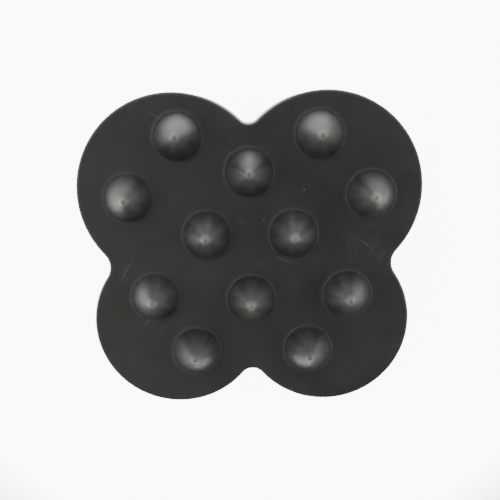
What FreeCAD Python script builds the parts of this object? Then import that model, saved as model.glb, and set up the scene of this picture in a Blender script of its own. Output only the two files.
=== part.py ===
import FreeCAD, Part
import math
import os

import Sketcher

# A palm-sized rubber friction pad for turning the screwed back of a watch case.
# A flat four-lobed face carries twelve pointed studs, and a rounded hollow shell
# with a resilient core behind the face fills the palm. Millimetres, +Z out of the
# gripping face, origin under the middle of the flat that the pad rests on.

SIZES = {
    # outline: two larger lobes above two smaller ones, with a rounded notch in each gap
    "upper_lobe_x": 14.4,
    "upper_lobe_y": 11.8,
    "upper_lobe_radius": 18.1,
    "lower_lobe_x": 14.1,
    "lower_lobe_y": 13.7,  # below the centre
    "lower_lobe_radius": 16.2,
    "top_notch_radius": 2.3,
    "bottom_notch_radius": 2.5,
    "side_notch_radius": 3.5,
    # depth and walls
    "body_depth": 27.0,
    "back_rounding": 13.0,
    "wall_thickness": 3.0,
    "face_edge_radius": 0.6,
    "seam_chamfer": 0.3,
    "spigot_width": 1.5,
    "spigot_depth": 2.0,
    "spigot_clearance": 0.1,
    "core_gap": 0.3,
    # studs and their stepped seats in the face
    "stud_radius": 4.55,
    "stud_clearance": 0.08,
    "dome_point": 1.45,  # how much higher than a half ball the dome stands
    "tip_radius": 0.7,
    "foot_slope": 64.0,  # how steeply the dome rises from the face
    "flange_overhang": 0.9,
    "flange_thickness": 1.2,
    "flange_gap": 0.1,
    "seat_clearance": 0.2,
    "guide_length": 3.6,
    "stud_travel": 1.2,
    "travel_reserve": 0.4,
    "rim_width": 0.35,
    "rim_height": 0.25,
    # lobe studs: distance in from the lobe's edge, and bearing about the lobe's centre
    "top_margin": 8.0,
    "top_bearing": 97.0,
    "upper_margin": 9.6,
    "upper_bearing": -8.5,
    "lower_margin": 9.55,
    "lower_bearing": 49.5,
    "bottom_margin": 9.5,
    "bottom_bearing": 240.5,
    # the other studs: places of the centre group
    "upper_middle_y": 15.0,
    "inner_x": 8.2,
    "inner_y": 3.25,
    "lower_middle_y": -9.3,
}

# Depth of the face: guide, flange with its gap, travel and what is left under a pressed stud.
FACE_STACK = ("guide_length", "flange_gap", "flange_thickness", "stud_travel", "travel_reserve")
SEAT_STACK = FACE_STACK[1:]
DOME_STACK = ("stud_radius", "dome_point")
TOLERANCE = 1e-4


def add_sheet(doc):
    sheet = doc.addObject("Spreadsheet::Sheet", "Sizes")
    for row, (alias, value) in enumerate(SIZES.items(), start=1):
        sheet.set(f"A{row}", alias)
        sheet.set(f"B{row}", str(value))
        sheet.setAlias(f"B{row}", alias)
    doc.recompute()
    return sheet


def total(*aliases):
    """Expression that adds up cells of the sheet."""
    return "(" + " + ".join(f"Sizes.{alias}" for alias in aliases) + ")"


def value_of(sheet, aliases):
    return sum(float(sheet.get(alias)) for alias in aliases)


def shell_height():
    return f"(Sizes.body_depth - {total(*FACE_STACK)})"


def new_body(doc, name, height=None):
    body = doc.addObject("PartDesign::Body", name)
    body.Label = name
    if height:
        body.setExpression("Placement.Base.z", height)
    return body


def origin_plane(body, role):
    return next(item for item in body.Origin.OriginFeatures if item.Role == role)


def new_sketch(body, name, role="XY_Plane", height=None):
    sketch = body.newObject("Sketcher::SketchObject", name)
    sketch.AttachmentSupport = (origin_plane(body, role), [""])
    sketch.MapMode = "FlatFace"
    if height:
        sketch.setExpression("AttachmentOffset.Base.z", height)
    return sketch


def bind(sketch, constraint, expression):
    index = sketch.addConstraint(constraint)
    sketch.setExpression(f"Constraints[{index}]", expression)


def notch_centre(first, second, radius):
    """Centre of the arc that touches both lobes from outside, to the right of the way between them."""
    (x1, y1, r1), (x2, y2, r2) = first, second
    apart = math.hypot(x2 - x1, y2 - y1)
    ux, uy = (x2 - x1) / apart, (y2 - y1) / apart
    along = ((r1 + radius) ** 2 - (r2 + radius) ** 2 + apart**2) / (2 * apart)
    across = math.sqrt((r1 + radius) ** 2 - along**2)
    return x1 + ux * along + uy * across, y1 + uy * along - ux * across


def arc(centre, radius, toward_start, toward_end):
    start = math.atan2(toward_start[1] - centre[1], toward_start[0] - centre[0])
    end = math.atan2(toward_end[1] - centre[1], toward_end[0] - centre[0])
    circle = Part.Circle(FreeCAD.Vector(*centre, 0), FreeCAD.Vector(0, 0, 1), radius)
    return Part.ArcOfCircle(circle, start, end)


def lobed_outline(sheet, sketch, *insets):
    """Closed outline of four lobes and four notches, set in by the named sizes."""
    inset = value_of(sheet, insets)
    upper_x, upper_y, lower_x, lower_y = (
        value_of(sheet, [alias])
        for alias in ("upper_lobe_x", "upper_lobe_y", "lower_lobe_x", "lower_lobe_y")
    )
    upper_radius = value_of(sheet, ["upper_lobe_radius"]) - inset
    lower_radius = value_of(sheet, ["lower_lobe_radius"]) - inset
    lobes = [
        (upper_x, upper_y, upper_radius),
        (-upper_x, upper_y, upper_radius),
        (-lower_x, -lower_y, lower_radius),
        (lower_x, -lower_y, lower_radius),
    ]
    # each notch follows the lobe of the same number, going round anticlockwise
    notch_names = ["top", "side", "bottom", "side"]
    notches = []
    for number, name in enumerate(notch_names):
        radius = value_of(sheet, [f"{name}_notch_radius"]) + inset
        centre = notch_centre(lobes[number], lobes[(number + 1) % 4], radius)
        notches.append((*centre, radius))

    lobe_arcs = []
    notch_arcs = []
    for number in range(4):
        x, y, radius = lobes[number]
        lobe = arc((x, y), radius, notches[number - 1], notches[number])
        lobe_arcs.append(sketch.addGeometry(lobe, False))
    for number in range(4):
        x, y, radius = notches[number]
        notch = arc((x, y), radius, lobes[(number + 1) % 4], lobes[number])
        notch_arcs.append(sketch.addGeometry(notch, False))
    for number in range(4):
        following = lobe_arcs[(number + 1) % 4]
        sketch.addConstraint(Sketcher.Constraint("Tangent", lobe_arcs[number], 2, notch_arcs[number], 2))
        sketch.addConstraint(Sketcher.Constraint("Tangent", notch_arcs[number], 1, following, 1))

    upper_right, upper_left, lower_left, lower_right = lobe_arcs
    less = f" - {total(*insets)}" if insets else ""
    more = f" + {total(*insets)}" if insets else ""
    for right, left, name in ((upper_right, upper_left, "upper"), (lower_right, lower_left, "lower")):
        x, y, radius = lobes[lobe_arcs.index(right)]
        across = Sketcher.Constraint("DistanceX", -1, 1, right, 3, x)
        bind(sketch, across, f"Sizes.{name}_lobe_x")
        ends = (-1, 1, right, 3) if y > 0 else (right, 3, -1, 1)
        bind(sketch, Sketcher.Constraint("DistanceY", *ends, abs(y)), f"Sizes.{name}_lobe_y")
        bind(sketch, Sketcher.Constraint("Radius", right, radius), f"Sizes.{name}_lobe_radius{less}")
        sketch.addConstraint(Sketcher.Constraint("Symmetric", right, 3, left, 3, -2))
        sketch.addConstraint(Sketcher.Constraint("Equal", right, left))
    for number in (0, 1, 2):
        radius = Sketcher.Constraint("Radius", notch_arcs[number], notches[number][2])
        bind(sketch, radius, f"Sizes.{notch_names[number]}_notch_radius{more}")
    sketch.addConstraint(Sketcher.Constraint("Equal", notch_arcs[1], notch_arcs[3]))


def stud_places():
    """Node name, and the expressions for the place of each stud's axis."""
    places = {}
    for name, lobe, down in (
        ("top", "upper", ""),
        ("upper", "upper", ""),
        ("lower", "lower", "-"),
        ("bottom", "lower", "-"),
    ):
        reach = f"(Sizes.{lobe}_lobe_radius - Sizes.{name}_margin)"
        x = f"(Sizes.{lobe}_lobe_x + {reach} * cos(Sizes.{name}_bearing))"
        y = f"({down}Sizes.{lobe}_lobe_y + {reach} * sin(Sizes.{name}_bearing))"
        places[f"stud_{name}_left"] = (f"(-1 * {x})", y)
        places[f"stud_{name}_right"] = (x, y)
    places["stud_inner_left"] = ("(-1 * Sizes.inner_x)", "Sizes.inner_y")
    places["stud_inner_right"] = ("Sizes.inner_x", "Sizes.inner_y")
    places["stud_upper_middle"] = ("0", "Sizes.upper_middle_y")
    places["stud_lower_middle"] = ("0", "Sizes.lower_middle_y")
    return places


def stud_circles(sheet, sketch, *radius_parts):
    """One circle on every stud's axis, its radius the sum of the named sizes."""
    radius = value_of(sheet, radius_parts)
    upright = FreeCAD.Vector(0, 0, 1)
    for x, y in stud_places().values():
        circle = sketch.addGeometry(Part.Circle(FreeCAD.Vector(1, 1, 0), upright, radius), False)
        bind(sketch, Sketcher.Constraint("Radius", circle, radius), total(*radius_parts))
        if x == "0":
            sketch.addConstraint(Sketcher.Constraint("PointOnObject", circle, 3, -2))
        else:
            bind(sketch, Sketcher.Constraint("DistanceX", -1, 1, circle, 3, 1.0), x)
        bind(sketch, Sketcher.Constraint("DistanceY", -1, 1, circle, 3, 1.0), y)


def add_pad(body, sketch, name, length, reverse=False):
    pad = body.newObject("PartDesign::Pad", name)
    pad.Profile = sketch
    pad.Reversed = reverse
    pad.setExpression("Length", length)
    body.Document.recompute()
    return pad


def add_pocket(body, sketch, name, length, reverse=False):
    before = body.Shape.Volume
    pocket = body.newObject("PartDesign::Pocket", name)
    pocket.Profile = sketch
    pocket.Reversed = reverse
    pocket.setExpression("Length", length)
    body.Document.recompute()
    if pocket.Shape.Volume > before - TOLERANCE:
        raise RuntimeError(f"{body.Label}: {name} removes nothing")
    return pocket


def is_flat_at(item, height):
    box = item.BoundBox
    return abs(box.ZMin - height) < TOLERANCE and abs(box.ZMax - height) < TOLERANCE


def face_name_at(feature, height):
    """Name of the face that lies flat at one height of a feature."""
    faces = enumerate(feature.Shape.Faces, start=1)
    return next(f"Face{number}" for number, face in faces if is_flat_at(face, height))


def outer_edges_at(feature, height):
    """Names of the edges round the outside of the face at one height."""
    around = feature.Shape.getElement(face_name_at(feature, height)).OuterWire.Edges
    edges = enumerate(feature.Shape.Edges, start=1)
    return [f"Edge{number}" for number, edge in edges if any(edge.isSame(other) for other in around)]


def dress_edges(body, kind, name, base, height, size):
    """Fillet or Chamfer round the outside of the base at one height."""
    dress = body.newObject(f"PartDesign::{kind}", name)
    dress.Base = (base, outer_edges_at(base, height))
    dress.setExpression("Radius" if kind == "Fillet" else "Size", size)
    body.Document.recompute()
    return dress


def make_grip_face(doc, sheet):
    body = new_body(doc, "grip_face", shell_height())
    depth = value_of(sheet, FACE_STACK)
    outline = new_sketch(body, "FaceOutline")
    lobed_outline(sheet, outline)
    plate = add_pad(body, outline, "Plate", total(*FACE_STACK))
    rounded = dress_edges(body, "Fillet", "FrontEdge", plate, depth, "Sizes.face_edge_radius")
    dress_edges(body, "Chamfer", "FaceSeam", rounded, 0.0, "Sizes.seam_chamfer")

    rims = new_sketch(body, "RimCircles", height=total(*FACE_STACK))
    stud_circles(sheet, rims, "stud_radius", "stud_clearance", "rim_width")
    add_pad(body, rims, "Rims", "Sizes.rim_height")

    spigot = new_sketch(body, "SpigotRing")
    lobed_outline(sheet, spigot, "wall_thickness", "spigot_clearance")
    lobed_outline(sheet, spigot, "wall_thickness", "spigot_clearance", "spigot_width")
    add_pad(body, spigot, "Spigot", "Sizes.spigot_depth", reverse=True)

    bores = new_sketch(body, "BoreCircles", height=total(*FACE_STACK, "rim_height"))
    stud_circles(sheet, bores, "stud_radius", "stud_clearance")
    add_pocket(body, bores, "Bores", total(*FACE_STACK, "rim_height", "spigot_depth"))

    seats = new_sketch(body, "SeatCircles", height="-Sizes.spigot_depth")
    stud_circles(sheet, seats, "stud_radius", "flange_overhang", "seat_clearance")
    add_pocket(body, seats, "Seats", total(*SEAT_STACK, "spigot_depth"), reverse=True)
    return body


def rounded_block(sheet, body, height, *insets):
    """Lobed block, set in by the named sizes, with its back edge rounded to match."""
    outline = new_sketch(body, f"{body.Name}_outline")
    lobed_outline(sheet, outline, *insets)
    block = add_pad(body, outline, f"{body.Name}_block", height)
    rounding = f"Sizes.back_rounding - {total(*insets)}" if insets else "Sizes.back_rounding"
    return dress_edges(body, "Fillet", f"{body.Name}_rounding", block, 0.0, rounding)


def make_palm_shell(doc, sheet):
    body = new_body(doc, "palm_shell")
    height = value_of(sheet, ["body_depth"]) - value_of(sheet, FACE_STACK)
    rounded = rounded_block(sheet, body, shell_height())
    whole = dress_edges(body, "Chamfer", "ShellSeam", rounded, height, "Sizes.seam_chamfer")

    hollow = new_body(doc, "hollow_form", "Sizes.wall_thickness")
    rounded_block(sheet, hollow, f"{shell_height()} - Sizes.wall_thickness", "wall_thickness")
    cut = body.newObject("PartDesign::Boolean", "Hollow")
    cut.Type = "Cut"
    cut.setObjects([hollow])
    doc.recompute()
    if cut.Shape.Volume > whole.Shape.Volume - hollow.Shape.Volume + TOLERANCE:
        raise RuntimeError("palm_shell: the hollow isn't cut out in full")
    return body


def make_core(doc, sheet):
    body = new_body(doc, "core", total("wall_thickness", "core_gap"))
    gaps = total("wall_thickness", "core_gap", "core_gap", "spigot_depth")
    main_height = f"({shell_height()} - {gaps})"
    rounded_block(sheet, body, main_height, "wall_thickness", "core_gap")

    step = new_sketch(body, "StepOutline", height=main_height)
    lobed_outline(sheet, step, "wall_thickness", "spigot_clearance", "spigot_width", "core_gap")
    add_pad(body, step, "Step", total("spigot_depth", "core_gap"))
    return body


def stud_profile(sheet, sketch):
    """Half section of a stud: flange, shank and a dome that ends in a small round tip."""
    radius = value_of(sheet, ["stud_radius"])
    flange = radius + value_of(sheet, ["flange_overhang"])
    shoulder = -value_of(sheet, ["guide_length", "flange_gap"])
    foot = shoulder - value_of(sheet, ["flange_thickness"])
    tip = value_of(sheet, DOME_STACK)
    tip_radius = value_of(sheet, ["tip_radius"])
    tip_centre = tip - tip_radius
    slope = math.radians(value_of(sheet, ["foot_slope"]))
    # the flank leaves the face at its slope and runs smoothly into the tip
    reach = radius * math.sin(slope) - tip_centre * math.cos(slope) - tip_radius
    flank_radius = (radius**2 + tip_centre**2 - tip_radius**2) / (2 * reach)
    flank_centre = (radius - flank_radius * math.sin(slope), -flank_radius * math.cos(slope))
    leave = math.pi / 2 - slope
    meet = math.atan2(tip_centre - flank_centre[1], -flank_centre[0])

    corners = [(0, foot), (flange, foot), (flange, shoulder), (radius, shoulder), (radius, 0)]
    for start, end in zip(corners, corners[1:]):
        sketch.addGeometry(Part.LineSegment(FreeCAD.Vector(*start, 0), FreeCAD.Vector(*end, 0)), False)
    upright = FreeCAD.Vector(0, 0, 1)
    flank_circle = Part.Circle(FreeCAD.Vector(*flank_centre, 0), upright, flank_radius)
    tip_circle = Part.Circle(FreeCAD.Vector(0, tip_centre, 0), upright, tip_radius)
    sketch.addGeometry(Part.ArcOfCircle(flank_circle, leave, meet), False)
    sketch.addGeometry(Part.ArcOfCircle(tip_circle, meet, math.pi / 2), False)
    axis_ends = (FreeCAD.Vector(0, tip, 0), FreeCAD.Vector(0, foot, 0))
    sketch.addGeometry(Part.LineSegment(*axis_ends), False)

    base, rim, underside, shank, flank, crown, axis = range(7)
    for first, second in ((base, rim), (rim, underside), (underside, shank), (crown, axis), (axis, base)):
        sketch.addConstraint(Sketcher.Constraint("Coincident", first, 2, second, 1))
    sketch.addConstraint(Sketcher.Constraint("Coincident", shank, 2, flank, 1))
    sketch.addConstraint(Sketcher.Constraint("Tangent", flank, 2, crown, 1))
    for line in (base, underside):
        sketch.addConstraint(Sketcher.Constraint("Horizontal", line))
    for line in (rim, shank):
        sketch.addConstraint(Sketcher.Constraint("Vertical", line))
    sketch.addConstraint(Sketcher.Constraint("PointOnObject", base, 1, -2))
    sketch.addConstraint(Sketcher.Constraint("PointOnObject", crown, 2, -2))
    sketch.addConstraint(Sketcher.Constraint("PointOnObject", crown, 3, -2))
    sketch.addConstraint(Sketcher.Constraint("PointOnObject", shank, 2, -1))
    across = Sketcher.Constraint("DistanceX", -1, 1, shank, 2, radius)
    bind(sketch, across, "Sizes.stud_radius")
    across = Sketcher.Constraint("DistanceX", -1, 1, base, 2, flange)
    bind(sketch, across, total("stud_radius", "flange_overhang"))
    down = Sketcher.Constraint("DistanceY", underside, 2, -1, 1, -shoulder)
    bind(sketch, down, total("guide_length", "flange_gap"))
    thick = Sketcher.Constraint("DistanceY", rim, 1, rim, 2, shoulder - foot)
    bind(sketch, thick, "Sizes.flange_thickness")
    up = Sketcher.Constraint("DistanceY", -1, 1, crown, 2, tip)
    bind(sketch, up, total(*DOME_STACK))
    bind(sketch, Sketcher.Constraint("Radius", crown, tip_radius), "Sizes.tip_radius")
    off_upright = Sketcher.Constraint("AngleViaPoint", shank, flank, flank, 1, leave)
    bind(sketch, off_upright, "90 - Sizes.foot_slope")


def make_stud(doc, sheet, name, x, y):
    """One stud, its own frame level with the face and on its axis."""
    body = new_body(doc, name, "Sizes.body_depth")
    body.setExpression("Placement.Base.x", x)
    body.setExpression("Placement.Base.y", y)
    profile = new_sketch(body, f"Profile_{name}", role="XZ_Plane")
    stud_profile(sheet, profile)
    turned = body.newObject("PartDesign::Revolution", f"Turned_{name}")
    turned.Profile = profile
    turned.ReferenceAxis = (profile, ["V_Axis"])
    turned.Angle = 360.0
    doc.recompute()
    return body


def check_model(doc, bodies):
    for item in doc.Objects:
        if "Invalid" in item.State or "Error" in item.State:
            raise RuntimeError(f"{item.Label} failed: {item.State}")
    for body in bodies:
        shape = body.Shape
        if shape.isNull() or not shape.isValid() or len(shape.Solids) != 1:
            raise RuntimeError(f"{body.Label} isn't one valid solid")


def export_parts(bodies):
    os.makedirs("parts", exist_ok=True)
    for body in bodies:
        body.Shape.exportStep(os.path.join("parts", f"{body.Label}.step"))
        box = body.Shape.BoundBox
        size = f"{box.XLength:.2f} x {box.YLength:.2f} x {box.ZLength:.2f}"
        print(f"{body.Label}: {size} mm, {body.Shape.Volume / 1000:.3f} cm3, up to z {box.ZMax:.2f}")


def main():
    doc = FreeCAD.newDocument("FrictionBall")
    sheet = add_sheet(doc)
    bodies = [make_grip_face(doc, sheet), make_palm_shell(doc, sheet), make_core(doc, sheet)]
    for name, (x, y) in stud_places().items():
        bodies.append(make_stud(doc, sheet, name, x, y))
    doc.recompute()
    check_model(doc, bodies)
    export_parts(bodies)


main()
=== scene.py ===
import math

import bmesh
import bpy
from mathutils import Matrix, Vector


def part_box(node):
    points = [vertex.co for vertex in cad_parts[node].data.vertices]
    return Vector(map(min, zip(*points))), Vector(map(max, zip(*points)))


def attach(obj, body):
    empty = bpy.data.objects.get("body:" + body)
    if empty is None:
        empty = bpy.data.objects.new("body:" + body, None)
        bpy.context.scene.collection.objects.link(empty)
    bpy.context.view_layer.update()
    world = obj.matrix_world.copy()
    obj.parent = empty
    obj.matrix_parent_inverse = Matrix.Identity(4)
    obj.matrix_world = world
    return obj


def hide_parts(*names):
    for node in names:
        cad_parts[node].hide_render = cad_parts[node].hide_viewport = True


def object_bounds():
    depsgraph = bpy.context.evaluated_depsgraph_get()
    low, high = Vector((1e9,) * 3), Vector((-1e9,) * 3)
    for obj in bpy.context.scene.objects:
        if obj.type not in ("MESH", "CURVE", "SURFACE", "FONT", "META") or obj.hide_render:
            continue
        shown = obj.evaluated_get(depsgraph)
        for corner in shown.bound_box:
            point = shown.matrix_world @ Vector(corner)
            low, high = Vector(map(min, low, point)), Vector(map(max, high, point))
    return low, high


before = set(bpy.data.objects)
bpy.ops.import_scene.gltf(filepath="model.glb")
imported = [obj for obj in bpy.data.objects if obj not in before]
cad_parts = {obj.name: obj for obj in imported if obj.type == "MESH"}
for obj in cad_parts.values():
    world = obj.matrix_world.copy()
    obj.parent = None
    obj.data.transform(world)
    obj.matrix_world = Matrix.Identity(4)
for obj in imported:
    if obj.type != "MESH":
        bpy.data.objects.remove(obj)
cadLow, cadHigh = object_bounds()  # the CAD box, before any new piece
mm = 0.001
smoothAngle = math.radians(40)
mergeDistance = 0.002 * mm
capRim = 0.1 * mm  # a narrow flat rim that keeps the caps clean
print("frame loaded:", len(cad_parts), "nodes")


# small helpers for working in edit mode

def deselectAll():
    if bpy.context.object and bpy.context.object.mode != "OBJECT":
        bpy.ops.object.mode_set(mode="OBJECT")
    bpy.ops.object.select_all(action="DESELECT")


def makeActive(piece):
    deselectAll()
    piece.select_set(True)
    bpy.context.view_layer.objects.active = piece


def editPiece(piece, kind="FACE"):
    makeActive(piece)
    bpy.ops.object.mode_set(mode="EDIT")
    bpy.ops.mesh.select_mode(type=kind)
    bpy.ops.mesh.select_all(action="DESELECT")


def pickFaces(piece, wanted):
    mesh = bmesh.from_edit_mesh(piece.data)
    for face in mesh.faces:
        face.select_set(wanted(face))
    bmesh.update_edit_mesh(piece.data)


def pickLevel(piece, height):  # the flat face that lies at one height
    pickFaces(piece, lambda face: all(abs(v.co.z - height) < 1e-6 for v in face.verts))


def finishMesh(piece):
    editPiece(piece, "VERT")
    bpy.ops.mesh.select_all(action="SELECT")
    bpy.ops.mesh.remove_doubles(threshold=mergeDistance)
    bpy.ops.mesh.normals_make_consistent(inside=False)
    bpy.ops.object.mode_set(mode="OBJECT")
    bpy.ops.object.transform_apply(location=True, rotation=True, scale=True)
    bpy.ops.object.shade_smooth_by_angle(angle=smoothAngle)


def applyModifier(piece, kind, **settings):
    makeActive(piece)
    modifier = piece.modifiers.new(kind.title(), kind)
    for name, value in settings.items():
        setattr(modifier, name, value)
    bpy.ops.object.modifier_apply(modifier=modifier.name)


def insetStep(inward, rise):  # the selected cap shrinks by inward, then moves by rise
    bpy.ops.mesh.inset(thickness=inward, depth=0, use_even_offset=True)
    bpy.ops.transform.translate(value=(0, 0, rise))


def roundOver(radius, steps, direction):  # quarter round on the selected cap
    for step in range(steps):
        before = math.pi / 2 * step / steps
        after = math.pi / 2 * (step + 1) / steps
        inward = radius * (math.cos(before) - math.cos(after))
        rise = radius * (math.sin(after) - math.sin(before))
        insetStep(inward, direction * rise)


def gridCut(piece, low, high, pitch):  # cuts the whole mesh along an even grid, seen from above
    for axis in (0, 1):
        normal = [0, 0, 0]
        normal[axis] = 1
        count = math.ceil((high[axis] - low[axis]) / pitch)
        for number in range(1, count):
            point = [0, 0, 0]
            point[axis] = low[axis] + (high[axis] - low[axis]) * number / count
            bpy.ops.mesh.select_all(action="SELECT")
            bpy.ops.mesh.bisect(plane_co=point, plane_no=normal)


# the four-lobed outline, in mm about the middle of the pad

padShape = {
    "upperX": 14.4,
    "upperY": 11.8,
    "upperRadius": 18.1,
    "lowerX": 14.1,
    "lowerY": -13.7,
    "lowerRadius": 16.2,
    "topNotch": 2.3,
    "bottomNotch": 2.5,
    "sideNotch": 3.5,
    "lobeSteps": 60,
    "notchSteps": 14,
}


def notchCentre(first, second, radius):  # centre of the arc that touches two lobes from outside
    (x1, y1, r1), (x2, y2, r2) = first, second
    apart = math.hypot(x2 - x1, y2 - y1)
    ux, uy = (x2 - x1) / apart, (y2 - y1) / apart
    along = ((r1 + radius) ** 2 - (r2 + radius) ** 2 + apart**2) / (2 * apart)
    across = math.sqrt((r1 + radius) ** 2 - along**2)
    return x1 + ux * along + uy * across, y1 + uy * along - ux * across, radius


def padArcs():  # lobes and notches, anticlockwise from the upper right lobe
    shape = padShape
    lobes = [
        (shape["upperX"], shape["upperY"], shape["upperRadius"]),
        (-shape["upperX"], shape["upperY"], shape["upperRadius"]),
        (-shape["lowerX"], shape["lowerY"], shape["lowerRadius"]),
        (shape["lowerX"], shape["lowerY"], shape["lowerRadius"]),
    ]
    notches = []
    for number, name in enumerate(("topNotch", "sideNotch", "bottomNotch", "sideNotch")):
        notches.append(notchCentre(lobes[number], lobes[(number + 1) % 4], shape[name]))
    return lobes, notches


def bearing(start, end):
    return math.atan2(end[1] - start[1], end[0] - start[0])


def turnBetween(start, end):  # the turn from one bearing to another, from -180 to 180 degrees
    return (end - start + math.pi) % (2 * math.pi) - math.pi


def spinArc(centre, turn, steps, height):  # spin turns clockwise for a positive angle
    middle = (centre[0] * mm, centre[1] * mm, height)
    bpy.ops.mesh.spin(steps=steps, angle=-turn, center=middle, axis=(0, 0, 1))


def drawPad(name, height):  # one face with the pad's outline, drawn as eight spins of a point
    lobes, notches = padArcs()
    first, last = lobes[0], notches[3]
    start = bearing(first, last)
    startX = (first[0] + first[2] * math.cos(start)) * mm
    startY = (first[1] + first[2] * math.sin(start)) * mm
    deselectAll()
    bpy.ops.mesh.primitive_plane_add(size=mm, location=(startX, startY, height))
    piece = bpy.context.object
    piece.name = name
    bpy.ops.object.transform_apply(location=True, rotation=True, scale=True)
    bpy.ops.object.mode_set(mode="EDIT")
    bpy.ops.mesh.select_mode(type="VERT")
    bpy.ops.mesh.merge(type="CENTER")
    for number, lobe in enumerate(lobes):
        before, notch, following = notches[number - 1], notches[number], lobes[(number + 1) % 4]
        sweep = (bearing(lobe, notch) - bearing(lobe, before)) % (2 * math.pi)
        spinArc(lobe, sweep, padShape["lobeSteps"], height)
        sweep = turnBetween(bearing(notch, lobe), bearing(notch, following))
        spinArc(notch, sweep, padShape["notchSteps"], height)
    bpy.ops.mesh.select_all(action="SELECT")
    bpy.ops.mesh.remove_doubles(threshold=0.01 * mm)
    bpy.ops.mesh.edge_face_add()
    bpy.ops.mesh.select_mode(type="FACE")
    return piece


# materials

def linear(hexColour):  # a display colour as the shader wants it
    values = [int(hexColour[i:i + 2], 16) / 255 for i in (1, 3, 5)]
    values = [v / 12.92 if v <= 0.04045 else ((v + 0.055) / 1.055) ** 2.4 for v in values]
    return (*values, 1.0)


def addNode(tree, kind, settings=None, links=None):  # settings by property or socket, links by socket
    node = tree.nodes.new(kind)
    for name, value in (settings or {}).items():
        if name in node.inputs:
            node.inputs[name].default_value = value
        else:
            setattr(node, name, value)
    for name, source in (links or {}).items():
        tree.links.new(source, node.inputs[name])
    return node


def startMaterial(name):
    material = bpy.data.materials.new(name)
    material.use_nodes = True
    tree = material.node_tree
    tree.nodes.clear()
    shader = addNode(tree, "ShaderNodeBsdfPrincipled")
    addNode(tree, "ShaderNodeOutputMaterial", links={"Surface": shader.outputs[0]})
    place = addNode(tree, "ShaderNodeTexCoord").outputs["Object"]
    return material, tree, shader, place


def colourBand(tree, factor, stops):
    ramp = addNode(tree, "ShaderNodeValToRGB", links={"Fac": factor})
    elements = ramp.color_ramp.elements
    while len(elements) < len(stops):
        elements.new(0.5)
    for element, (position, colour) in zip(elements, stops):
        element.position = position
        element.color = linear(colour)
    return ramp.outputs["Color"]


def band(tree, value, low, high, toLow=0.0, toHigh=1.0):  # a clamped ramp of one number
    settings = {"From Min": low, "From Max": high, "To Min": toLow, "To Max": toHigh}
    return addNode(tree, "ShaderNodeMapRange", settings, {"Value": value}).outputs["Result"]


def maths(tree, operation, first, second=None):
    node = addNode(tree, "ShaderNodeMath", {"operation": operation}, {0: first})
    if isinstance(second, (int, float)):
        node.inputs[1].default_value = second
    elif second:
        tree.links.new(second, node.inputs[1])
    return node.outputs[0]


def mixColour(tree, factor, under, over):
    node = addNode(tree, "ShaderNodeMix", {"data_type": "RGBA"}, {"Factor": factor})
    sockets = [socket for socket in node.inputs if socket.type == "RGBA"]
    tree.links.new(under, sockets[0])
    sockets[1].default_value = linear(over)
    return next(socket for socket in node.outputs if socket.type == "RGBA")


def noiseAt(tree, place, size, detail=2.0, roughness=0.5):  # size in mm, one number or one for each axis
    if not isinstance(size, (int, float)):
        stretch = {"Scale": [1 / (part * mm) for part in size]}
        place = addNode(tree, "ShaderNodeMapping", stretch, {"Vector": place}).outputs[0]
        size = 1 / mm
    settings = {"Scale": 1 / (size * mm), "Detail": detail, "Roughness": roughness}
    return addNode(tree, "ShaderNodeTexNoise", settings, {"Vector": place}).outputs["Fac"]


def turned(tree, place, degrees):
    turn = {"Rotation": (0, 0, math.radians(degrees))}
    return addNode(tree, "ShaderNodeMapping", turn, {"Vector": place}).outputs[0]


def specks(tree, place, spacing, size, share):  # a share of the cells of a fine pattern hold one speck
    cells = addNode(tree, "ShaderNodeTexVoronoi", {"Scale": 1 / (spacing * mm)}, {"Vector": place})
    spot = band(tree, cells.outputs["Distance"], size / spacing, size / spacing * 0.4)
    pick = addNode(tree, "ShaderNodeSeparateColor", links={"Color": cells.outputs["Color"]})
    chosen = band(tree, pick.outputs["Red"], 1 - share, 1.0)
    return maths(tree, "MULTIPLY", spot, chosen)


def scratches(tree, place, degrees, spacing, width):  # hairlines that run one way and break off
    length = spacing * rubber["scratchLength"]
    lined = noiseAt(tree, turned(tree, place, degrees), (spacing, length, length), 1.0)
    line = band(tree, maths(tree, "ABSOLUTE", maths(tree, "SUBTRACT", lined, 0.5)), width, 0.0)
    patch = band(tree, noiseAt(tree, place, rubber["scratchPatch"], 1.0), 0.60, 0.70)
    return maths(tree, "MULTIPLY", line, patch)


# Nitrile rubber, moulded black, with the soft grain of a blasted mould. The eye sees a
# near-black skin that greys at the sides, a little uneven bloom, dust and fine handling marks.
# The grain is drawn coarser than a real mould's, so that it shows.
rubber = {
    "dark": "#171a19",
    "light": "#202322",
    "worn": "#3a3b3a",
    "dust": "#a3a199",
    "grain": 0.22,
    "cloud": 9.0,
    "ripple": 2.4,
    "streakSize": (0.9, 0.9, 12.0),
    "scratchRuns": ((38, 1.3), (-57, 2.1)),  # bearing in degrees and spacing of each set
    "scratchWidth": 0.012,
    "scratchLength": 22,  # times the spacing
    "scratchPatch": 11.0,
    "specks": ((2.6, 0.10, 1.0), (9.0, 0.2, 0.5)),  # spacing, size and share of the dust
}
faceFinish = {
    "rough": (0.52, 0.62),
    "ior": 1.44,
    "grain": 0.03,
    "dust": 0.5,
    "scratch": 0.1,
    "wear": 0.06,
}
shellFinish = {
    "rough": (0.58, 0.70),
    "ior": 1.48,
    "grain": 0.035,
    "dust": 0.3,
    "scratch": 0.03,
    "wear": 0.1,
}
studFinish = {
    "rough": (0.42, 0.50),
    "ior": 1.52,
    "grain": 0.02,
    "dust": 0.25,
    "scratch": 0.0,
    "wear": 0.5,
    "streaks": 0.25,  # marks that run down the dome, from pressing and twisting
    "cap": 1.0,  # mm of each tip that is made smoother and carries a painted warm glint
    # colour of the painted glint on each tip
    "glintTone": "#6e665a",
    "capRough": 0.28,
}


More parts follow.
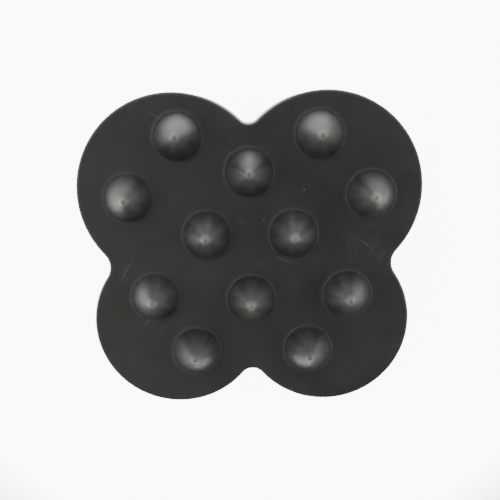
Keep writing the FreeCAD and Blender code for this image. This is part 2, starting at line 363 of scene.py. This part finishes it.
def mouldedRubber(name, finish, wearFrom, wearTo):  # wear grows between the two heights
    material, tree, shader, place = startMaterial(name)
    cloud = noiseAt(tree, place, rubber["cloud"], 3.0)
    grain = noiseAt(tree, place, rubber["grain"], 3.0, 0.6)
    ripple = noiseAt(tree, place, rubber["ripple"], 2.0)
    colour = colourBand(tree, cloud, ((0.3, rubber["dark"]), (0.7, rubber["light"])))
    rough = band(tree, cloud, 0.3, 0.7, *finish["rough"])

    # rubbed and greyed where hands and watch backs touch
    height = addNode(tree, "ShaderNodeSeparateXYZ", links={"Vector": place}).outputs["Z"]
    high = band(tree, height, wearFrom, wearTo)
    uneven = band(tree, ripple, 0.35, 0.65, 0.3 * finish["wear"], finish["wear"])
    colour = mixColour(tree, maths(tree, "MULTIPLY", high, uneven), colour, rubber["worn"])
    if "streaks" in finish:
        run = noiseAt(tree, place, rubber["streakSize"])
        streaks = band(tree, run, 0.45, 0.7, 0.0, finish["streaks"])
        colour = mixColour(tree, streaks, colour, rubber["worn"])
        # the tip's pale warm tone is a painted glint; its lower roughness is the finish
        cap = band(tree, height, wearTo - finish["cap"] * mm, wearTo)
        paintedGlint = maths(tree, "MULTIPLY", cap, band(tree, ripple, 0.35, 0.65, 0.35, 0.75))
        colour = mixColour(tree, paintedGlint, colour, finish["glintTone"])
        smoother = maths(tree, "MULTIPLY", cap, finish["rough"][0] - finish["capRough"])
        rough = maths(tree, "SUBTRACT", rough, smoother)
    if finish["scratch"]:
        for degrees, spacing in rubber["scratchRuns"]:
            marks = scratches(tree, place, degrees, spacing, rubber["scratchWidth"])
            faint = maths(tree, "MULTIPLY", marks, finish["scratch"])
            colour = mixColour(tree, faint, colour, rubber["dust"])
    for spacing, size, share in rubber["specks"]:
        dust = specks(tree, place, spacing, size, finish["dust"] * share)
        colour = mixColour(tree, dust, colour, rubber["dust"])
    tree.links.new(colour, shader.inputs["Base Color"])

    tree.links.new(rough, shader.inputs["Roughness"])
    settings = {"Strength": 0.5, "Distance": finish["grain"] * mm}
    fine = addNode(tree, "ShaderNodeBump", settings, {"Height": grain}).outputs["Normal"]
    settings = {"Strength": 0.4, "Distance": finish["grain"] * 3 * mm}
    soft = addNode(tree, "ShaderNodeBump", settings, {"Height": ripple, "Normal": fine})
    tree.links.new(soft.outputs["Normal"], shader.inputs["Normal"])
    shader.inputs["IOR"].default_value = finish["ior"]
    return material


# Sponge rubber, blown and cut to shape: dull charcoal, pitted all over by open cells, with painted shade
# darkening each pit.
sponge = {
    "wall": "#2b2c2b",
    "paintedPitShade": "#101010",
    "cell": 0.9,
    "depth": 0.25,
    "cloud": 4.0,
    "rough": (0.82, 0.95),
    "ior": 1.5,
}


def spongeRubber(name):
    material, tree, shader, place = startMaterial(name)
    scale = {"Scale": 1 / (sponge["cell"] * mm)}
    cell = addNode(tree, "ShaderNodeTexVoronoi", scale, {"Vector": place}).outputs["Distance"]
    # the cells' dark centres are painted shade in the pits, where the bump sinks
    colour = colourBand(tree, cell, ((0.15, sponge["paintedPitShade"]), (0.5, sponge["wall"])))
    tree.links.new(colour, shader.inputs["Base Color"])
    rough = band(tree, noiseAt(tree, place, sponge["cloud"]), 0.3, 0.7, *sponge["rough"])
    tree.links.new(rough, shader.inputs["Roughness"])
    settings = {"Strength": 0.9, "Distance": sponge["depth"] * mm}
    bump = addNode(tree, "ShaderNodeBump", settings, {"Height": cell})
    tree.links.new(bump.outputs["Normal"], shader.inputs["Normal"])
    shader.inputs["IOR"].default_value = sponge["ior"]
    return material


def dress(piece, material, body, slot, *nodes):
    piece.data.materials.clear()
    piece.data.materials.append(material)
    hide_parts(*nodes)
    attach(piece, body)


# the gripping face

face = {
    "edge": 0.6,
    "edgeSteps": 6,
    "seamRound": 0.35,
    "seamSteps": 3,
    "bore": 4.58,  # the skin closes on the stud above the sliding bore
    "boreDepth": 4.0,
    "mouthSlope": 64.0,  # degrees, how far the mouth leans in, the same as the dome's foot
    "mouthHeight": 1.0,
    "collarFoot": 5.45,
    "collarLip": 4.5,
    "collarHeight": 0.25,
    "collarSteps": 7,
    "collarBase": 1.0,  # how deep each ring starts inside the plate
    "ringSides": 96,
    "gridPitch": 2.5,
}

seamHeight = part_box("palm_shell")[1].z
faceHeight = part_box("grip_face")[1].z - face["collarHeight"] * mm
studNames = sorted(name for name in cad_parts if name.startswith("stud_"))


def studAxis(name):
    low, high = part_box(name)
    return (low + high) / 2


def makeCollar():  # one ring of rubber that runs up to a stud's foot, with a hollow flank
    foot, lip = face["collarFoot"] * mm, face["collarLip"] * mm
    deselectAll()
    base = face["collarBase"] * mm
    bpy.ops.mesh.primitive_cylinder_add(
        vertices=face["ringSides"], radius=foot, depth=base, location=(0, 0, -base / 2)
    )
    piece = bpy.context.object
    bpy.ops.object.transform_apply(location=True, rotation=True, scale=True)
    editPiece(piece)
    pickLevel(piece, 0)
    for step in range(face["collarSteps"]):
        before = math.pi / 2 * step / face["collarSteps"]
        after = math.pi / 2 * (step + 1) / face["collarSteps"]
        inward = (foot - lip) * (math.sin(after) - math.sin(before))
        rise = face["collarHeight"] * mm * (math.cos(before) - math.cos(after))
        insetStep(inward, rise)
    bpy.ops.object.mode_set(mode="OBJECT")
    return piece


def makeBore():  # a straight bore, whose mouth leans in with the dome
    depth = face["boreDepth"] * mm
    mouth = face["mouthHeight"] * mm
    lean = mouth / math.tan(math.radians(face["mouthSlope"]))
    share = 1 - lean / (face["bore"] * mm)
    deselectAll()
    bpy.ops.mesh.primitive_cylinder_add(
        vertices=face["ringSides"],
        radius=face["bore"] * mm,
        depth=depth,
        location=(0, 0, -depth / 2),
    )
    piece = bpy.context.object
    bpy.ops.object.transform_apply(location=True, rotation=True, scale=True)
    editPiece(piece)
    pickLevel(piece, 0)
    bpy.ops.mesh.extrude_region_move(TRANSFORM_OT_translate={"value": (0, 0, mouth)})
    bpy.ops.transform.resize(value=(share, share, 1), center_override=(0, 0, 0))
    bpy.ops.object.mode_set(mode="OBJECT")
    return piece


def copyToStuds(pattern):  # one copy at each stud's axis, joined into one mesh
    copies = []
    for name in studNames:
        axis = studAxis(name)
        makeActive(pattern)
        bpy.ops.object.duplicate(linked=False)
        bpy.context.object.location = (axis.x, axis.y, faceHeight)
        copies.append(bpy.context.object)
    bpy.data.objects.remove(pattern)
    deselectAll()
    for piece in copies:
        piece.select_set(True)
    bpy.context.view_layer.objects.active = copies[0]
    bpy.ops.object.join()
    bpy.ops.object.transform_apply(location=True, rotation=True, scale=True)
    return bpy.context.object


def makeFace():
    lower = seamHeight + face["seamRound"] * mm
    upper = faceHeight - face["edge"] * mm
    piece = drawPad("grip_face_skin", lower)
    bpy.ops.mesh.extrude_region_move(TRANSFORM_OT_translate={"value": (0, 0, upper - lower)})
    roundOver(face["edge"] * mm, face["edgeSteps"], 1)
    insetStep(capRim, 0)
    pickLevel(piece, lower)
    roundOver(face["seamRound"] * mm, face["seamSteps"], -1)
    insetStep(capRim, 0)
    gridCut(piece, cadLow, cadHigh, face["gridPitch"] * mm)
    finishMesh(piece)

    for pattern, operation in ((makeCollar(), "UNION"), (makeBore(), "DIFFERENCE")):
        cutter = copyToStuds(pattern)
        applyModifier(piece, "BOOLEAN", object=cutter, operation=operation, solver="EXACT")
        bpy.data.objects.remove(cutter)
    finishMesh(piece)
    material = mouldedRubber("matte moulded nitrile rubber", faceFinish, faceHeight - mm, faceHeight)
    dress(piece, material, "pad", "matte_rubber", "grip_face")


makeFace()
print("gripping face made")


# the palm shell

shell = {
    "backRound": 13.0,
    "backSteps": 26,
    "wall": 3.0,
    "seamRound": 0.35,
    "seamSteps": 3,
    "wearTop": 3.0,  # the back is rubbed up to here
}


def makeShell():
    upper = seamHeight - shell["seamRound"] * mm
    lower = shell["backRound"] * mm
    piece = drawPad("palm_shell_skin", upper)
    bpy.ops.mesh.extrude_region_move(TRANSFORM_OT_translate={"value": (0, 0, lower - upper)})
    roundOver(shell["backRound"] * mm, shell["backSteps"], -1)
    insetStep(capRim, 0)
    pickLevel(piece, upper)
    roundOver(shell["seamRound"] * mm, shell["seamSteps"], 1)
    insetStep((shell["wall"] - shell["seamRound"]) * mm, 0)
    bpy.ops.mesh.extrude_region_move(TRANSFORM_OT_translate={"value": (0, 0, lower - seamHeight)})
    roundOver((shell["backRound"] - shell["wall"]) * mm, shell["backSteps"] // 2, -1)
    finishMesh(piece)
    wearTop = shell["wearTop"] * mm
    material = mouldedRubber("matte moulded nitrile rubber, palm side", shellFinish, wearTop, 0)
    dress(piece, material, "pad", "matte_rubber", "palm_shell")


makeShell()
print("palm shell made")


# the studs

stud = {
    "radius": 4.55,
    "flangeRadius": 5.45,
    "flangeThickness": 1.2,
    "tipRadius": 0.7,
    "footSlope": face["mouthSlope"],  # degrees, how steep the dome rises from the face
    "flankSteps": 22,
    "tipSteps": 8,
    "sides": 96,
    "wearFrom": 2.5,
}


def domeProfile():  # radius and height of each ring, from the face up to the tip
    radius, tipRadius = stud["radius"], stud["tipRadius"]
    tipCentre = (cadHigh.z - faceHeight) / mm - tipRadius
    slope = math.radians(stud["footSlope"])
    reach = radius * math.sin(slope) - tipCentre * math.cos(slope) - tipRadius
    flank = (radius**2 + tipCentre**2 - tipRadius**2) / (2 * reach)
    middleX, middleZ = radius - flank * math.sin(slope), -flank * math.cos(slope)
    start = math.pi / 2 - slope
    meet = math.atan2(tipCentre - middleZ, -middleX)
    rings = []
    for step in range(1, stud["flankSteps"] + 1):
        angle = start + (meet - start) * step / stud["flankSteps"]
        rings.append((middleX + flank * math.cos(angle), middleZ + flank * math.sin(angle)))
    for step in range(1, stud["tipSteps"]):
        angle = meet + (math.pi / 2 - meet) * step / stud["tipSteps"]
        rings.append((tipRadius * math.cos(angle), tipCentre + tipRadius * math.sin(angle)))
    return rings


def makeFirstStud():
    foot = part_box(studNames[0])[0].z
    shoulder = foot + stud["flangeThickness"] * mm
    depth = faceHeight - shoulder
    deselectAll()
    middle = (0, 0, (faceHeight + shoulder) / 2)
    bpy.ops.mesh.primitive_cylinder_add(
        vertices=stud["sides"], radius=stud["radius"] * mm, depth=depth, location=middle
    )
    piece = bpy.context.object
    bpy.ops.object.transform_apply(location=True, rotation=True, scale=True)
    editPiece(piece)
    pickLevel(piece, faceHeight)
    before, level = stud["radius"], 0.0
    for radius, height in domeProfile():
        bpy.ops.mesh.extrude_region_move(
            TRANSFORM_OT_translate={"value": (0, 0, (height - level) * mm)}
        )
        share = radius / before
        bpy.ops.transform.resize(value=(share, share, 1), center_override=(0, 0, 0))
        before, level = radius, height
    bpy.ops.mesh.merge(type="CENTER")
    tip = max(bmesh.from_edit_mesh(piece.data).verts, key=lambda v: v.co.z)
    tip.co.z = cadHigh.z
    pickLevel(piece, shoulder)
    flange = stud["flangeRadius"] / stud["radius"]
    bpy.ops.mesh.extrude_region_move(TRANSFORM_OT_translate={"value": (0, 0, 0)})
    bpy.ops.transform.resize(value=(flange, flange, 1), center_override=(0, 0, 0))
    bpy.ops.mesh.extrude_region_move(TRANSFORM_OT_translate={"value": (0, 0, foot - shoulder)})
    finishMesh(piece)
    return piece


def makeStuds():
    pattern = makeFirstStud()
    wearFrom = faceHeight + stud["wearFrom"] * mm
    material = mouldedRubber("satin moulded nitrile rubber, tips with painted glint", studFinish, wearFrom, cadHigh.z)
    for name in studNames:
        makeActive(pattern)
        bpy.ops.object.duplicate(linked=False)
        piece = bpy.context.object
        piece.name = f"{name}_dome"
        axis = studAxis(name)
        piece.location = (axis.x, axis.y, 0)
        bpy.ops.object.transform_apply(location=True, rotation=True, scale=True)
        dress(piece, material, name, "stud_rubber", name)
    bpy.data.objects.remove(pattern)


makeStuds()
print("studs made")

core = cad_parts["core"]
core.data.materials.clear()
core.data.materials.append(spongeRubber("sponge rubber with painted pit shade"))
print("core dressed")


# floor, light and camera

studio = {
    "floor": "#f4f4f2",
    "floorSize": 3.0,  # metres
    "floorRough": 0.9,
    "floorGlow": 10.0,
    "glowRadius": (80.0, 96.0),  # the bright middle of the table fades out between these
    "farGlow": {"y": 5.4, "x": 1.8, "-x": 4.2},  # what lies beyond, on three sides of it
    "cameraDistance": 140.0,
    "cameraTilt": 11.0,
    "cameraRoll": 1.0,
    "lens": 53.06,
    "sensor": 36,
    "clipStart": 5,
    "lookX": -0.1,
    "lookY": 0.26,
    "bands": ((0, 4.0), (22, 0.9)),  # height in degrees and strength of two rings of light
    "bandWidth": 0.34,
    # bearing, height in degrees and strength of each softbox in the tent
    "softboxes": (
        (0, 28, 4.0),
        (45, 28, 1.2),
        (180, 28, 3.6),
        (225, 28, 1.3),
        (315, 28, 0.5),
        (0, 64, 0.5),
        (180, 64, 0.5),
        (90, 50, 2.2),
        (135, 50, 4.0),
    ),
    "softboxRadius": 24,
    "lampColour": "#ffe2c4",
    "lampPower": 0.03,
    "lampSize": 20,
    "lampPlace": (-45, -45, 140),
}


def makeFloor():
    deselectAll()
    bpy.ops.mesh.primitive_plane_add(size=studio["floorSize"], location=(0, 0, cadLow.z))
    floor = bpy.context.object
    floor.name = "floor"
    material, tree, shader, place = startMaterial("white paper, lit through")
    shader.inputs["Base Color"].default_value = linear(studio["floor"])
    shader.inputs["Roughness"].default_value = studio["floorRough"]
    shader.inputs["Emission Color"].default_value = linear(studio["floor"])
    parts = addNode(tree, "ShaderNodeSeparateXYZ", links={"Vector": place}).outputs
    reach = addNode(tree, "ShaderNodeVectorMath", {"operation": "LENGTH"}, {0: place}).outputs["Value"]
    inner, outer = (radius * mm for radius in studio["glowRadius"])
    glow = band(tree, reach, inner, outer, studio["floorGlow"], 0.0)
    far = band(tree, reach, inner, outer)
    for side, strength in studio["farGlow"].items():
        across = maths(tree, "DIVIDE", parts[side[-1].upper()], reach)
        if side.startswith("-"):
            across = maths(tree, "MULTIPLY", across, -1)
        lobe = maths(tree, "POWER", maths(tree, "MAXIMUM", across, 0), 2)
        lit = maths(tree, "MULTIPLY", maths(tree, "MULTIPLY", lobe, far), strength)
        glow = maths(tree, "ADD", glow, lit)
    tree.links.new(glow, shader.inputs["Emission Strength"])
    floor.data.materials.append(material)


def makeSky():
    world = bpy.data.worlds.new("soft tent")
    bpy.context.scene.world = world
    world.use_nodes = True
    tree = world.node_tree
    tree.nodes.clear()
    place = addNode(tree, "ShaderNodeTexCoord").outputs["Generated"]

    def patch(direction, middle, width, strength):  # light where the direction is near enough
        node = addNode(tree, "ShaderNodeVectorMath", {"operation": "DOT_PRODUCT"}, {0: place})
        node.inputs[1].default_value = direction
        off = maths(tree, "ABSOLUTE", maths(tree, "SUBTRACT", node.outputs["Value"], middle))
        settings = {"interpolation_type": "SMOOTHSTEP", "From Min": 0.0, "From Max": width}
        settings.update({"To Min": strength, "To Max": 0.0})
        return addNode(tree, "ShaderNodeMapRange", settings, {"Value": off}).outputs["Result"]

    patches = []
    for height, strength in studio["bands"]:
        middle = math.sin(math.radians(height))
        patches.append(patch((0, 0, 1), middle, studio["bandWidth"], strength))
    for azimuth, height, strength in studio["softboxes"]:
        side, up = math.radians(azimuth), math.radians(height)
        direction = (math.cos(side) * math.cos(up), math.sin(side) * math.cos(up), math.sin(up))
        width = 1 - math.cos(math.radians(studio["softboxRadius"]))
        patches.append(patch(direction, 1.0, width, strength))
    glow = patches[0]
    for more in patches[1:]:
        glow = maths(tree, "ADD", glow, more)
    sky = addNode(tree, "ShaderNodeBackground", {"Color": linear("#ffffff")}, {"Strength": glow})
    addNode(tree, "ShaderNodeOutputWorld", links={"Surface": sky.outputs[0]})


def makeLamp():  # small and warm, for the glint on each tip
    x, y, z = (part * mm for part in studio["lampPlace"])
    deselectAll()
    bpy.ops.object.light_add(type="AREA", location=(x, y, faceHeight + z))
    lamp = bpy.context.object
    lamp.data.shape = "DISK"
    lamp.data.size = studio["lampSize"] * mm
    lamp.data.energy = studio["lampPower"]
    lamp.data.color = linear(studio["lampColour"])[:3]
    aim = Vector((0, 0, faceHeight)) - lamp.location
    lamp.rotation_euler = aim.to_track_quat("-Z", "Y").to_euler()


def makeCamera():
    target = Vector((studio["lookX"] * mm, studio["lookY"] * mm, faceHeight))
    tilt = math.radians(studio["cameraTilt"])
    away = Vector((0, math.sin(tilt), math.cos(tilt)))
    spot = target + away * studio["cameraDistance"] * mm
    sideways = Vector((1, 0, 0))
    upward = away.cross(sideways)
    roll = Matrix.Rotation(math.radians(-studio["cameraRoll"]), 3, away)
    axes = Matrix((sideways, upward, away)).transposed()
    bpy.ops.object.camera_add(location=spot)
    camera = bpy.context.object
    camera.rotation_euler = (roll @ axes).to_euler()
    camera.data.lens = studio["lens"]
    camera.data.sensor_width = studio["sensor"]
    camera.data.clip_start = studio["clipStart"] * mm
    bpy.context.scene.camera = camera


makeFloor()
makeSky()
makeLamp()
makeCamera()
print("studio made")
